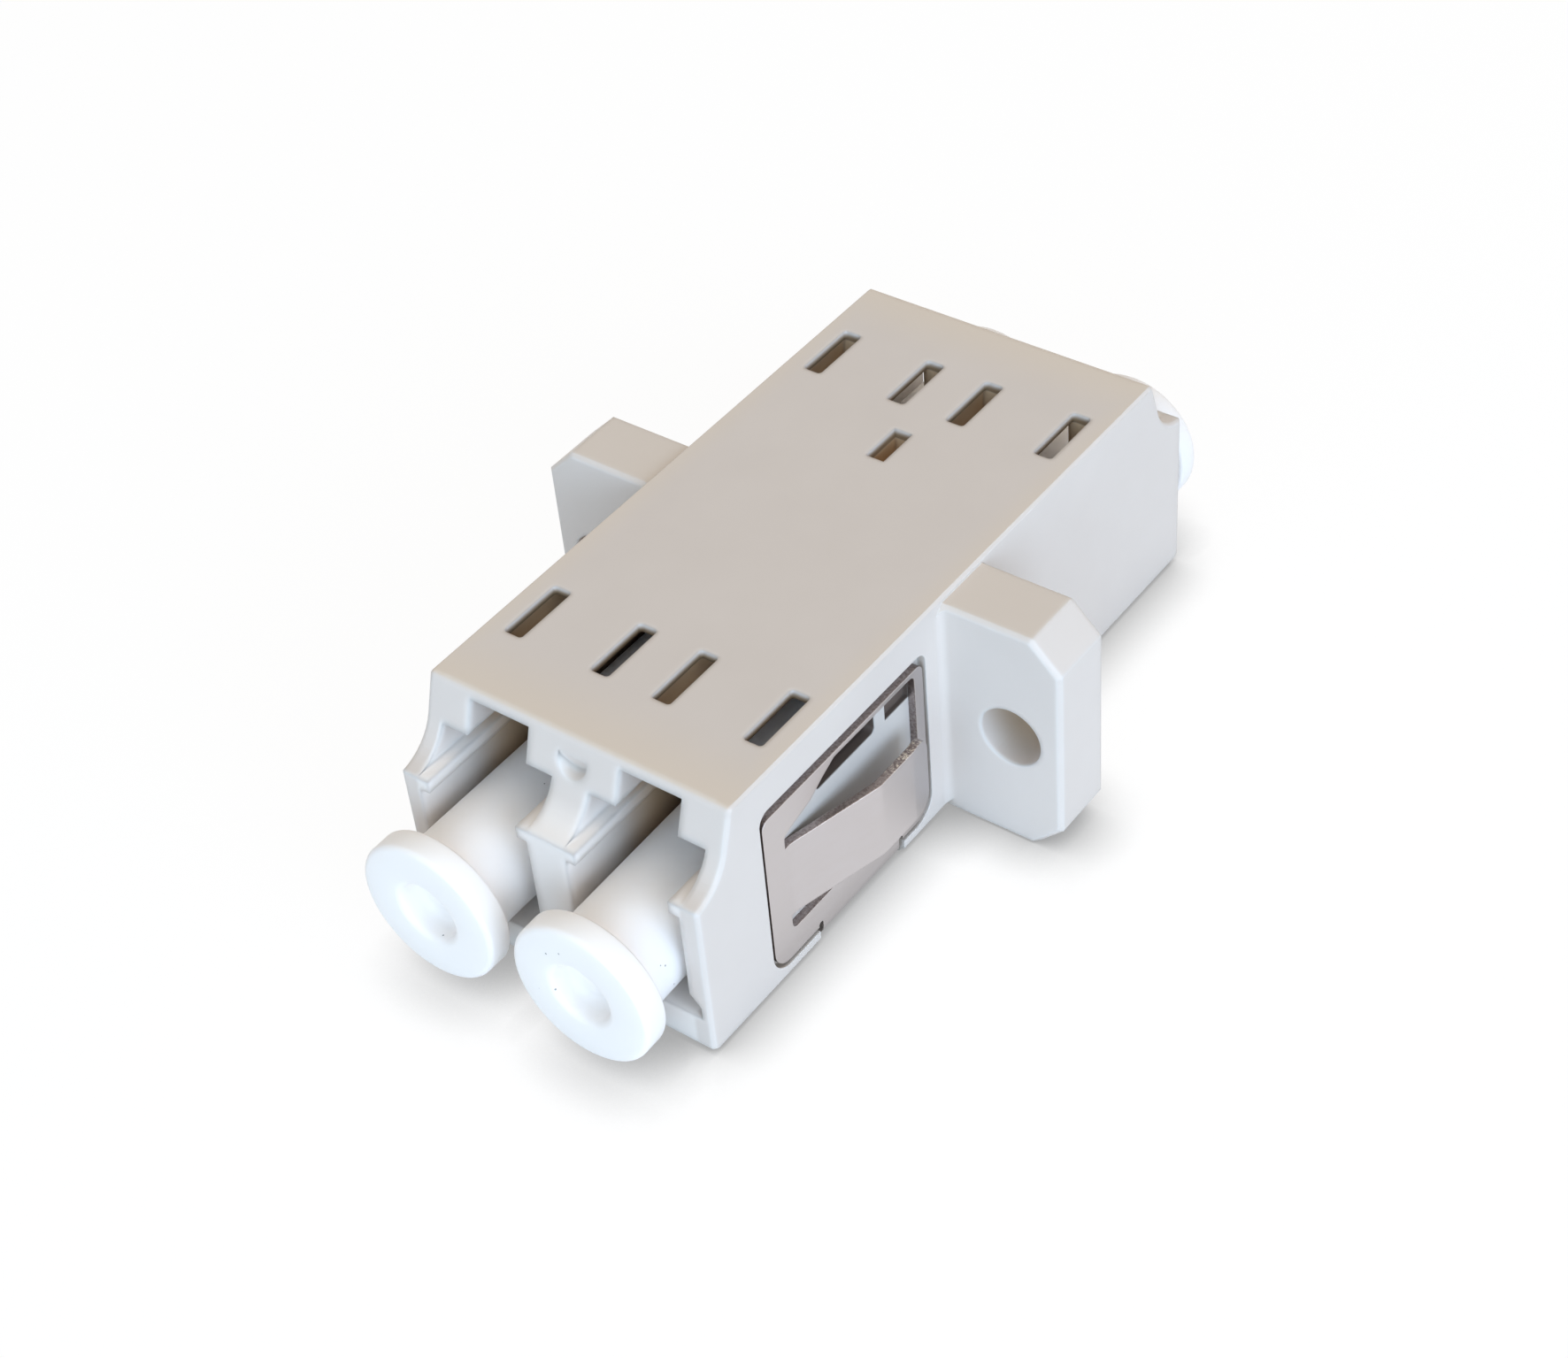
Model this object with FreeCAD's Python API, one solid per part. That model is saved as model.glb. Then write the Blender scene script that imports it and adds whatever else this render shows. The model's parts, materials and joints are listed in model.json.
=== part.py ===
import FreeCAD, Part
import math
import os

# Duplex fibre adapter for two pairs of small-form plugs, with its panel clip and four dust caps.
# Millimetres. X runs across the two ports, Y along the fibres, with the front at -Y, and Z up.
# The origin is under the middle of the body, on its flat underside.
Vec = FreeCAD.Vector
ALONG_X = Vec(1, 0, 0)
ALONG_Y = Vec(0, 1, 0)
ALONG_Z = Vec(0, 0, 1)
bite = 0.1
beyond = 1.0

# Ports, the same at both ends
port_pitch = 6.25
port_axis_height = 3.95
port_opening = 4.6
rail_thickness = 0.5
rail_overhang = 0.4
track_relief = 0.06
track_height = 1.2
latch_slot_width = 2.5
latch_slot_height = 1.3
latch_room_reach = 5.0
groove_depth = 0.42
groove_height = 0.55
groove_slant = 0.45
groove_length = 2.4

# Body around the ports
side_wall = 0.775
roof_thickness = 0.35
ledge_reach = 14.8
scoop_rise = 1.3
scoop_run = 1.6
end_lean = 0.5
toe_chamfer = 0.35
body_edge = 0.1
top_round = 0.22
base_chamfer = 0.28

# Windows in the top, over the plug latches, and the one over the retainer's tab
window_width = 0.77
window_length = 2.7
window_margin = 0.125
window_round = 0.14
catch_length = 2.8
tab_window_width = 0.75
tab_window_length = 1.8
tab_window_setback = 2.2

# Split sleeves
sleeve_bore = 1.25
sleeve_wall = 0.185
sleeve_length = 6.8
sleeve_slit = 0.16

# Wall between the front and rear ports, and the barrels that hold the sleeves
wall_half = 1.9
plate_thickness = 1.3
sleeve_gap = 0.04
sleeve_end_gap = 0.1
barrel_wall = 0.65
lip_gap = 0.055
lip_length = 1.5
lead_in = 0.32
fit_gap = 0.05
tab_height = 0.45
tab_gap = 0.12

# Flange
hole_from_body = 2.7
hole_to_edge = 2.0
flange_drop = 0.2
flange_setback = 1.1
flange_thickness = 2.7
flange_chamfer = 1.15
flange_hole_diameter = 2.4
flange_edge = 0.14
flange_root_round = 0.3

# Round mark left by an ejector pin on the front end face, between the ports
mark_diameter = 1.2
mark_drop = 0.8
mark_depth = 0.1

# Panel clip, one folded sheet, and the seat it snaps into
sheet_thickness = 0.3
clip_sink = 0.04
seat_length = 9.35
seat_from_flange = 0.95
seat_above_base = 0.6
seat_below_top = 1.48
seat_corner = 0.5
seat_lower_corner = 0.95
clip_gap = 0.15
clip_top_gap = 0.46
fold_radius = 0.3
strap_inset_front = 2.8
strap_inset_rear = 2.05
strap_gap = 0.25
relief_width = 0.24
relief_rise = 0.06
frame_post_front = 1.2
frame_post_rear = 0.63
frame_sill = 1.3
frame_lintel = 0.2
frame_step_drop = 0.8
frame_slope_drop = 0.35
frame_step_start = 1.5
frame_step_run = 0.7
frame_slope_run = 0.7
tongue_height = 3.15
tongue_root_inset = 0.3
tongue_tip_gap = 0.65
tongue_curl_length = 0.95
tongue_flat_length = 1.9
tongue_flare = 0.97
tongue_curl = 0.12
tongue_corner = 0.6
tongue_bend = 0.9
slit_width = 0.65
upper_slit_width = 0.58
slit_round = 0.28

# Slots in the housing wall that show through the clip's window
side_slot_rise = 0.07
side_slot_height = 0.8
side_slot_round = 0.2
deep_slot_length = 3.35
side_slot_rib = 0.6
shallow_slot_length = 1.4
shallow_slot_depth = 0.22

# Dust caps
cap_side_gap = 0.275
cap_fit = 0.075
cap_wall_gap = 1.25
rear_cap_push = 0.9
cap_web = 2.05
cap_end_chamfer = 0.2
head_spacing = 0.7
head_thickness = 1.0
head_gap = 1.65
head_rim = 0.33
head_root = 0.3
dimple_diameter = 2.3
dimple_depth = 0.95
dimple_lip = 0.36

# Lines that several pieces share
half_port = port_opening / 2
half_gap = half_port - rail_overhang
half_track = half_port + track_relief
half_slot = latch_slot_width / 2
ports_half = port_pitch / 2 + half_port
half_width = ports_half + side_wall
port_floor = port_axis_height - half_port
port_ceiling = port_axis_height + half_port
ledge_height = port_ceiling + rail_thickness
track_top = ledge_height + track_height
roof_under = track_top + latch_slot_height
body_height = roof_under + roof_thickness
port_centres = (-port_pitch / 2, port_pitch / 2)
past_end = ledge_reach + beyond
scoop_reach = ledge_reach - scoop_run
scoop_top = ledge_height + scoop_rise
top_reach = scoop_reach - end_lean
catch_reach = top_reach - catch_length
window_offset = half_track - window_margin - window_width / 2
parting_y = wall_half - plate_thickness
tab_window_start = wall_half + tab_window_setback
sleeve_diameter = sleeve_bore + 2 * sleeve_wall
pocket_diameter = sleeve_diameter + 2 * sleeve_gap
pocket_reach = sleeve_length / 2 + sleeve_end_gap
lip_diameter = sleeve_bore + 2 * lip_gap
barrel_diameter = pocket_diameter + 2 * barrel_wall
barrel_reach = pocket_reach + lip_length
flange_height = body_height - flange_drop
flange_front = -flange_setback
flange_rear = flange_front + flange_thickness
hole_reach = half_width + hole_from_body
flange_reach = hole_reach + hole_to_edge
seat_depth = sheet_thickness + clip_sink
seat_floor = half_width - seat_depth
seat_rear = flange_front - seat_from_flange
seat_front = seat_rear - seat_length
seat_top = body_height - seat_below_top
clip_bottom = seat_above_base + clip_gap
clip_top = seat_top - clip_top_gap
strap_front = seat_front + strap_inset_front
strap_rear = seat_rear - strap_inset_rear
frame_front = seat_front + frame_post_front
frame_rear = seat_rear - frame_post_rear
frame_bottom = seat_above_base + frame_sill
frame_top = clip_top - frame_lintel
tongue_bottom = frame_bottom + slit_width
tongue_top = tongue_bottom + tongue_height
tongue_root = frame_front + tongue_root_inset
tongue_tip = frame_rear - tongue_tip_gap
tongue_crest = tongue_tip - tongue_curl_length
tongue_knee = tongue_crest - tongue_flat_length
side_slot_bottom = port_ceiling + side_slot_rise
side_slot_top = side_slot_bottom + side_slot_height
step_rear = frame_front + frame_step_start + frame_step_run
deep_slot_rear = step_rear + deep_slot_length
shallow_slot_front = deep_slot_rear + side_slot_rib
cap_stem_radius = half_port - cap_side_gap
cap_bore_radius = barrel_diameter / 2 + cap_fit
cap_inner_end = wall_half + cap_wall_gap
cap_head_radius = (port_pitch - head_spacing) / 2
cap_head_back = ledge_reach + head_gap
cap_outer_end = cap_head_back + head_thickness
cap_dimple_floor = cap_outer_end - dimple_depth
cap_bore_end = cap_dimple_floor - cap_web


def box(x0, x1, y0, y1, z0, z1):
    return Part.makeBox(x1 - x0, y1 - y0, z1 - z0, Vec(x0, y0, z0))


def face_of(points):
    return Part.Face(Part.makePolygon(points + points[:1]))


def prism_x(outline, x0, x1):
    """A solid of one (y, z) outline from x0 to x1."""
    return face_of([Vec(x0, y, z) for y, z in outline]).extrude(ALONG_X * (x1 - x0))


def prism_y(outline, y0, y1):
    """A solid of one (x, z) outline from y0 to y1."""
    return face_of([Vec(x, y0, z) for x, z in outline]).extrude(ALONG_Y * (y1 - y0))


def rod(diameter, x, z, y0, y1):
    return Part.makeCylinder(diameter / 2, y1 - y0, Vec(x, y0, z), ALONG_Y)


def flare(small, large, x, z, y_small, y_large):
    """A cone along Y from its small end to its large end."""
    length = abs(y_large - y_small)
    way = ALONG_Y * math.copysign(1, y_large - y_small)
    return Part.makeCone(small / 2, large / 2, length, Vec(x, y_small, z), way)


def edges_along(shape, direction):
    """The straight edges that run along one axis."""
    found = []
    for edge in shape.Edges:
        run = edge.Vertexes[-1].Point - edge.Vertexes[0].Point
        if run.Length > 1e-6 and run.normalize().cross(direction).Length < 1e-6:
            found.append(edge)
    return found


def rounded(shape, direction, radius):
    return shape.makeFillet(radius, edges_along(shape, direction))


def facing(shape, y_sign):
    """The same solid turned to the front (-1) or rear (+1) end."""
    return shape if y_sign > 0 else shape.mirror(Vec(0, 0, 0), ALONG_Y)


def both_sides(shape):
    """A solid and its mirror image on the other flank."""
    return [shape, shape.mirror(Vec(0, 0, 0), ALONG_X)]


def body_block():
    """The body's side outline with a scoop above each ledge, pulled across its width.

    Each scoop is an arc that leaves the leaning end face without a crease.
    """
    turn = math.atan2(scoop_run, scoop_rise) - math.atan2(end_lean, body_height - scoop_top)
    dip_y = math.tan(turn / 2) * scoop_rise / 2
    dip_z = math.tan(turn / 2) * scoop_run / 2

    def side(sign):
        """The edges of one end, from the top edge down to the underside."""
        def at(y, z):
            return Vec(-half_width, sign * y, z)
        scoop_start = at(scoop_reach, scoop_top)
        scoop_end = at(ledge_reach, ledge_height)
        scoop_middle = at((scoop_reach + ledge_reach) / 2 - dip_y,
                          (scoop_top + ledge_height) / 2 - dip_z)
        toe_start = at(ledge_reach, toe_chamfer)
        return [
            Part.LineSegment(at(top_reach, body_height), scoop_start).toShape(),
            Part.Arc(scoop_start, scoop_middle, scoop_end).toShape(),
            Part.LineSegment(scoop_end, toe_start).toShape(),
            Part.LineSegment(toe_start, at(ledge_reach - toe_chamfer, 0)).toShape(),
        ]

    def level(y, z):
        return Part.LineSegment(Vec(-half_width, -y, z), Vec(-half_width, y, z)).toShape()

    ends = [level(top_reach, body_height), level(ledge_reach - toe_chamfer, 0)]
    wire = Part.Wire(Part.__sortEdges__(side(1) + side(-1) + ends))
    block = Part.Face(wire).extrude(ALONG_X * 2 * half_width)
    brows = [
        edge
        for edge in edges_along(block, ALONG_X)
        if abs(edge.CenterOfMass.z - body_height) < 1e-4
    ]
    block = block.makeFillet(top_round, brows)
    rims = [edge for edge in block.Edges if edge.BoundBox.XLength < 1e-6]
    block = block.makeChamfer(body_edge, rims)
    envelope = box(-half_width, half_width, -past_end, past_end, 0, body_height)
    keels = [edge for edge in edges_along(envelope, ALONG_Y) if edge.CenterOfMass.z < body_edge]
    return block.common(envelope.makeChamfer(base_chamfer, keels)).Solids[0]


def flange():
    cut = flange_chamfer
    outline = [
        (-flange_reach, cut),
        (-flange_reach + cut, 0),
        (flange_reach - cut, 0),
        (flange_reach, cut),
        (flange_reach, flange_height - cut),
        (flange_reach - cut, flange_height),
        (-flange_reach + cut, flange_height),
        (-flange_reach, flange_height - cut),
    ]
    plate = prism_y(outline, flange_front, flange_rear)
    crossing = [edge for edge in plate.Edges if edge.BoundBox.YLength < 1e-6]
    return plate.makeChamfer(flange_edge, crossing)


def flange_holes():
    return [
        rod(flange_hole_diameter, sign * hole_reach, flange_height / 2,
            flange_front - beyond, flange_rear + beyond)
        for sign in (-1, 1)
    ]


def shell_block():
    """Body and flange as one moulding, with soft roots where the ears leave the body."""
    block = body_block().fuse(flange()).removeSplitter()
    roots = []
    for edge in edges_along(block, ALONG_Z):
        middle = edge.CenterOfMass
        at_side = abs(abs(middle.x) - half_width) < 1e-4
        at_flange = min(abs(middle.y - flange_front), abs(middle.y - flange_rear)) < 1e-4
        if at_side and at_flange:
            roots.append(edge)
    return block.makeFillet(flange_root_round, roots)


def groove(left, right):
    """Widening low in a mouth between two port sides, which narrows upward on a slant."""
    low = port_floor
    high = low + groove_height
    return [
        (left - groove_depth, low),
        (right + groove_depth, low),
        (right + groove_depth, high),
        (right, high + groove_slant),
        (left, high + groove_slant),
        (left - groove_depth, high),
    ]


def mouth(left, right):
    return prism_y(groove(left, right), ledge_reach - groove_length, past_end)


def latch_space(centre):
    """Room for a plug's latch above one port's rails, as if at the rear end."""
    track = box(centre - half_track, centre + half_track,
                latch_room_reach, past_end, ledge_height, track_top)
    slot = box(centre - half_slot, centre + half_slot,
               catch_reach - bite, past_end, track_top, roof_under)
    behind_catch = box(centre - half_track, centre + half_track,
                       latch_room_reach, catch_reach, track_top, roof_under)
    return [track, slot, behind_catch]


def front_port(centre):
    """One front port: a square plug opening, latch room and mouth grooves."""
    opening = box(centre - half_port, centre + half_port,
                  wall_half, past_end, port_floor, port_ceiling)
    between_rails = box(centre - half_gap, centre + half_gap,
                        wall_half, past_end, port_ceiling, ledge_height)
    spaces = [opening, between_rails, mouth(centre - half_port, centre + half_port)]
    return [facing(solid, -1) for solid in spaces + latch_space(centre)]


def rear_room():
    """The rear end opens as one wide room, which the sleeve retainer divides into two ports."""
    rail_x = ports_half - rail_overhang
    room = box(-ports_half, ports_half, parting_y, past_end, port_floor, port_ceiling)
    over = box(-rail_x, rail_x, parting_y, past_end, port_ceiling, ledge_height)
    spaces = [room, over, mouth(-ports_half, ports_half)]
    for centre in port_centres:
        spaces += latch_space(centre)
    return spaces


def top_windows():
    cutters = []
    for centre in port_centres:
        for offset in (-window_offset, window_offset):
            x = centre + offset
            window = box(x - window_width / 2, x + window_width / 2,
                         catch_reach - window_length, catch_reach,
                         roof_under - bite, body_height + beyond)
            window = rounded(window, ALONG_Z, window_round)
            cutters += [facing(window, -1), facing(window, 1)]
    tab_window = box(-tab_window_width / 2, tab_window_width / 2,
                     tab_window_start, tab_window_start + tab_window_length,
                     ledge_height - bite, body_height + beyond)
    return cutters + [tab_window]


def corners_rounded(block, low, high):
    """A block with its lower and upper corners rounded about X."""
    middle = block.CenterOfMass.z
    lower = [edge for edge in edges_along(block, ALONG_X) if edge.CenterOfMass.z < middle]
    block = block.makeFillet(low, lower)
    upper = [edge for edge in edges_along(block, ALONG_X) if edge.CenterOfMass.z > middle]
    return block.makeFillet(high, upper)


def clip_seat():
    """Pockets in both sides, joined under the body by the channel for the strap."""
    pocket = box(seat_floor, half_width + beyond, seat_front, seat_rear,
                 seat_above_base, seat_top)
    pocket = corners_rounded(pocket, seat_lower_corner, seat_corner)
    deep = box(ports_half - rail_overhang, half_width, step_rear, deep_slot_rear,
               side_slot_bottom, side_slot_top)
    deep = rounded(deep, ALONG_X, side_slot_round)
    shallow = box(seat_floor - shallow_slot_depth, half_width,
                  shallow_slot_front, shallow_slot_front + shallow_slot_length,
                  side_slot_bottom, side_slot_top)
    front = strap_front - strap_gap
    rear = strap_rear + strap_gap
    channel = box(-half_width - beyond, half_width + beyond, front, rear,
                  -beyond, seat_above_base + seat_corner)
    core = box(-seat_floor, seat_floor, front - beyond, rear + beyond,
               seat_depth, body_height)
    core = rounded(core, ALONG_Y, fold_radius)
    return both_sides(pocket) + both_sides(deep) + both_sides(shallow) + [channel.cut(core)]


def barrel(centre):
    """A sleeve barrel that stands on the wall and points to the rear."""
    return rod(barrel_diameter, centre, port_axis_height, wall_half - bite, barrel_reach)


def barrel_bore(centre, start):
    """The sleeve's pocket, then a lip that funnels the ferrule in and keeps the sleeve."""
    z = port_axis_height
    pocket = rod(pocket_diameter, centre, z, start, pocket_reach)
    funnel = flare(lip_diameter, lip_diameter + 2 * lead_in, centre, z,
                   pocket_reach, barrel_reach)
    return [pocket, funnel]


def ejector_mark():
    """A shallow round dent square to the leaning end face above the web."""
    lean = end_lean / (body_height - scoop_top)
    centre = Vec(0, -(top_reach + mark_drop * lean), body_height - mark_drop)
    inward = Vec(0, 1, lean).normalize()
    return Part.makeCylinder(mark_diameter / 2, mark_depth + beyond,
                             centre - inward * beyond, inward)


def housing():
    cutters = flange_holes() + rear_room() + top_windows() + clip_seat() + [ejector_mark()]
    for centre in port_centres:
        cutters += front_port(centre)
    shell = shell_block().cut(cutters)
    shell = shell.multiFuse([facing(barrel(centre), -1) for centre in port_centres])
    bores = []
    for centre in port_centres:
        bores += [facing(bore, -1) for bore in barrel_bore(centre, -parting_y - bite)]
    return shell.cut(bores).removeSplitter()


def sleeve_retainer():
    """Rear insert: wall plate, dividing web with rails, two barrels and a snap tab."""
    reach_x = ports_half - fit_gap
    rail_x = reach_x - rail_overhang
    low = port_floor + fit_gap
    shoulder = port_ceiling - fit_gap
    high = ledge_height - fit_gap
    plate = prism_y([
        (-reach_x, low),
        (reach_x, low),
        (reach_x, shoulder),
        (rail_x, shoulder),
        (rail_x, high),
        (-rail_x, high),
        (-rail_x, shoulder),
        (-reach_x, shoulder),
    ], parting_y, wall_half)
    web_half = port_pitch / 2 - half_port
    web_rail = web_half + rail_overhang
    web = prism_y([
        (-web_half, low),
        (web_half, low),
        (web_half, port_ceiling),
        (web_rail, port_ceiling),
        (web_rail, high),
        (-web_rail, high),
        (-web_rail, port_ceiling),
        (-web_half, port_ceiling),
    ], wall_half - bite, ledge_reach)
    web = web.cut([mouth(centre - half_port, centre + half_port) for centre in port_centres])
    tab_half = tab_window_width / 2 - tab_gap
    tab_front = tab_window_start + tab_gap
    tab_rear = tab_window_start + tab_window_length - tab_gap
    tab_top = ledge_height + tab_height
    tab = prism_x([
        (tab_front, high - bite),
        (tab_rear, high - bite),
        (tab_rear, tab_top),
        (tab_rear - tab_height, tab_top),
        (tab_front, high),
    ], -tab_half, tab_half)
    insert = plate.multiFuse([web, tab] + [barrel(centre) for centre in port_centres])
    bores = []
    for centre in port_centres:
        bores += barrel_bore(centre, parting_y - bite)
    return insert.cut(bores).removeSplitter()


def split_sleeve(centre):
    z = port_axis_height
    half = sleeve_length / 2
    tube = rod(sleeve_diameter, centre, z, -half, half)
    bore = rod(sleeve_bore, centre, z, -half - beyond, half + beyond)
    slit = box(centre - sleeve_slit / 2, centre + sleeve_slit / 2,
               -half - beyond, half + beyond, z, z + sleeve_diameter)
    return tube.cut([bore, slit])


def clip_window():
    """The opening around the tongue in Y and Z, with round ends on the two slits."""
    outline = [
        (frame_front, frame_bottom),
        (frame_rear, frame_bottom),
        (frame_rear, frame_top),
        (step_rear + frame_slope_run, frame_top),
        (step_rear, frame_top - frame_slope_drop),
        (step_rear - frame_step_run, frame_top - frame_step_drop),
        (frame_front, tongue_top + upper_slit_width),
    ]
    opening = rounded(prism_x(outline, 0, half_width + beyond), ALONG_X, slit_round)
    root = box(0, half_width + beyond, frame_front - beyond, tongue_root,
               tongue_bottom, tongue_top)
    return opening.cut(root)


def tongue():
    """A sheet tongue that flares out from its root, runs level and curls back at its tip."""
    start = frame_front - tongue_root_inset
    tip = tongue_flare - tongue_curl
    path = [(start, 0), (tongue_root, 0), (tongue_knee, tongue_flare),
            (tongue_crest, tongue_flare), (tongue_tip, tip)]
    near = [Vec(seat_floor + rise, y, tongue_bottom) for y, rise in path]
    far = [point + ALONG_X * sheet_thickness for point in reversed(near)]
    sheet = face_of(near + far).extrude(ALONG_Z * tongue_height)
    bends = [
        edge
        for edge in edges_along(sheet, ALONG_Z)
        if min(abs(edge.CenterOfMass.y - y)
               for y in (tongue_root, tongue_knee, tongue_crest)) < 1e-4
    ]
    sheet = sheet.makeFillet(tongue_bend, bends)
    blank = box(0, flange_reach, start, tongue_tip, tongue_bottom, tongue_top)
    tips = [
        edge
        for edge in edges_along(blank, ALONG_X)
        if abs(edge.CenterOfMass.y - tongue_tip) < 1e-4
    ]
    return sheet.common(blank.makeFillet(tongue_corner, tips))


def relief_notches():
    """Round-topped notches in a side plate, beside each edge of the strap."""
    top = clip_bottom + relief_rise
    notches = []
    for y in (strap_front - relief_width, strap_rear):
        notches.append(box(0, half_width + beyond, y, y + relief_width, clip_bottom - bite, top))
        notches.append(Part.makeCylinder(relief_width / 2, half_width + beyond,
                                         Vec(0, y + relief_width / 2, top), ALONG_X))
    return notches


def panel_clip():
    """One folded sheet: a side plate on each flank and a strap under the body."""
    outer = seat_floor + sheet_thickness
    plate = box(seat_floor, outer, seat_front + clip_gap, seat_rear - clip_gap,
                clip_bottom, clip_top)
    plate = corners_rounded(plate, seat_lower_corner - clip_gap, seat_corner - clip_gap)
    side = plate.cut([clip_window()] + relief_notches()).fuse(tongue())
    loop = box(-outer, outer, strap_front, strap_rear, clip_sink, body_height)
    loop = rounded(loop, ALONG_Y, fold_radius + sheet_thickness)
    hollow = box(-seat_floor, seat_floor, strap_front - beyond, strap_rear + beyond,
                 seat_depth, body_height + beyond)
    hollow = rounded(hollow, ALONG_Y, fold_radius)
    above = box(-half_width, half_width, strap_front - beyond, strap_rear + beyond,
                (clip_bottom + frame_bottom) / 2, body_height + beyond)
    strap = loop.cut([hollow, above])
    return strap.multiFuse(both_sides(side)).removeSplitter()


def cap_section():
    """Half section of a cap: distance from its axis, and distance along it from the origin."""
    stem = cap_stem_radius
    bore = cap_bore_radius
    end = min(cap_end_chamfer, (stem - bore) / 2)
    head = cap_head_radius
    brim = head - stem
    rim = min(head_rim, 0.45 * brim, 0.45 * head_thickness)
    root = min(head_root, 0.45 * brim)
    soft = rim * (1 - math.sqrt(0.5))
    dimple = dimple_diameter / 2
    outline = [
        (0, cap_bore_end),
        (bore, cap_bore_end),
        (bore, cap_inner_end),
        (stem - end, cap_inner_end),
        (stem, cap_inner_end + end),
        (stem, cap_head_back - root),
        (stem + root, cap_head_back),
        (head - rim, cap_head_back),
        (head, cap_head_back + rim),
        (head, cap_outer_end - rim),
        (head - soft, cap_outer_end - soft),
        (head - rim, cap_outer_end),
        (dimple + dimple_lip, cap_outer_end),
        (dimple, cap_outer_end - dimple_lip),
        (dimple, cap_dimple_floor),
        (0, cap_dimple_floor),
    ]
    return face_of([Vec(radius, y, 0) for radius, y in outline])


def dust_cap(centre, y_sign, push):
    """A soft push-on cap over one barrel, at the front (-1) or rear (+1), pushed in by a length."""
    turned = facing(cap_section().revolve(Vec(0, 0, 0), ALONG_Y, 360), y_sign)
    turned.translate(Vec(centre, -y_sign * push, port_axis_height))
    return turned


def build():
    pieces = {
        "housing": housing(),
        "sleeve_retainer": sleeve_retainer(),
        "panel_clip": panel_clip(),
    }
    for side, centre in zip(("left", "right"), port_centres):
        pieces["split_sleeve_" + side] = split_sleeve(centre)
        pieces["dust_cap_front_" + side] = dust_cap(centre, -1, 0)
        pieces["dust_cap_rear_" + side] = dust_cap(centre, 1, rear_cap_push)
    return pieces


os.makedirs("parts", exist_ok=True)
for name, shape in build().items():
    solids = shape.Solids
    shape = solids[0] if len(solids) == 1 else Part.makeCompound(solids)
    shape.exportStep(os.path.join("parts", name + ".step"))
    print(name, len(solids), shape.isValid(), round(shape.Volume, 3), len(shape.Faces))
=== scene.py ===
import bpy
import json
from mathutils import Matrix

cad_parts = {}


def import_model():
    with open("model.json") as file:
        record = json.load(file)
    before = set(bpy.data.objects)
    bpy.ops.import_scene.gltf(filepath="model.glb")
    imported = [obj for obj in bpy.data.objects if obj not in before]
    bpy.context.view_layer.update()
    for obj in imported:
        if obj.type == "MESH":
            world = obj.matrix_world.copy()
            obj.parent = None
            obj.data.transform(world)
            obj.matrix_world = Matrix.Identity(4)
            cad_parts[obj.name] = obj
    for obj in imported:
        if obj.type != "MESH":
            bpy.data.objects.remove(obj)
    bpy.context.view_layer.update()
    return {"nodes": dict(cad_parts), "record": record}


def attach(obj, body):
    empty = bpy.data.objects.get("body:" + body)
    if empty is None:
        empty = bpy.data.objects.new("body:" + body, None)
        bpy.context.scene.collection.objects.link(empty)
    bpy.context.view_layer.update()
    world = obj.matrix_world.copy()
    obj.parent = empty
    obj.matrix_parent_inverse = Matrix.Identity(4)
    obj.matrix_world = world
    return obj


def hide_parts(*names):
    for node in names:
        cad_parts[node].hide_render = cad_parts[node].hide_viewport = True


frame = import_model()

import json
import math

import bmesh
import bpy
import numpy as np
from mathutils import Vector

MM = 0.001
nodes = frame["nodes"]

# Sizes of the caps, in millimetres, as the solids have them
cap_axis_height = 3.95
port_pitch = 6.25
stem_radius = 2.025
cap_bore_radius = 1.575
cap_inner_end = 3.15
cap_bore_end = 14.45
head_radius = 2.775
head_back = 16.45
head_front = 17.45
rear_cap_push = 0.9
barrel_middle = 4.1
dimple_radius = 1.15
dimple_depth = 0.95

# Finer shape of the caps, in millimetres: the bore's chamfers, the stem's inner end and its curve
# into the head, the head's rims, and the dimple's lip, corner and flat middle
bore_chamfer = 0.02
inner_rim = 0.18
inner_face_inset = 0.2
stem_start = 0.3
stem_root = 0.32
root_gap = 0.02
back_rim = 0.12
front_rim = 0.2
dimple_lip = 0.24
dimple_corner = 0.45
dimple_flat = 0.3

# Rows of points along a cap's stem, and columns round it
stem_rows = 24
cap_columns = 96

# Points of a cap nearer than this are merged, and shorter edges closed, in metres
weld_distance = 2e-7
shortest_edge = 1e-7

# How far each cap's axis leans across and up for each millimetre that it reaches out
cap_leans = {
    ("front", "left"): (-0.016, -0.012),
    ("front", "right"): (0.0, -0.022),
    ("rear", "left"): (0.0, -0.022),
    ("rear", "right"): (0.0, -0.02),
}

# Screw holes: how far across and how high their axes are, in millimetres
hole_across = 8.9
hole_height = 4.7

# Height of the clip's bend round the underside, in millimetres. Above it, its edges are sheared.
strap_bend = 0.9

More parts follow.
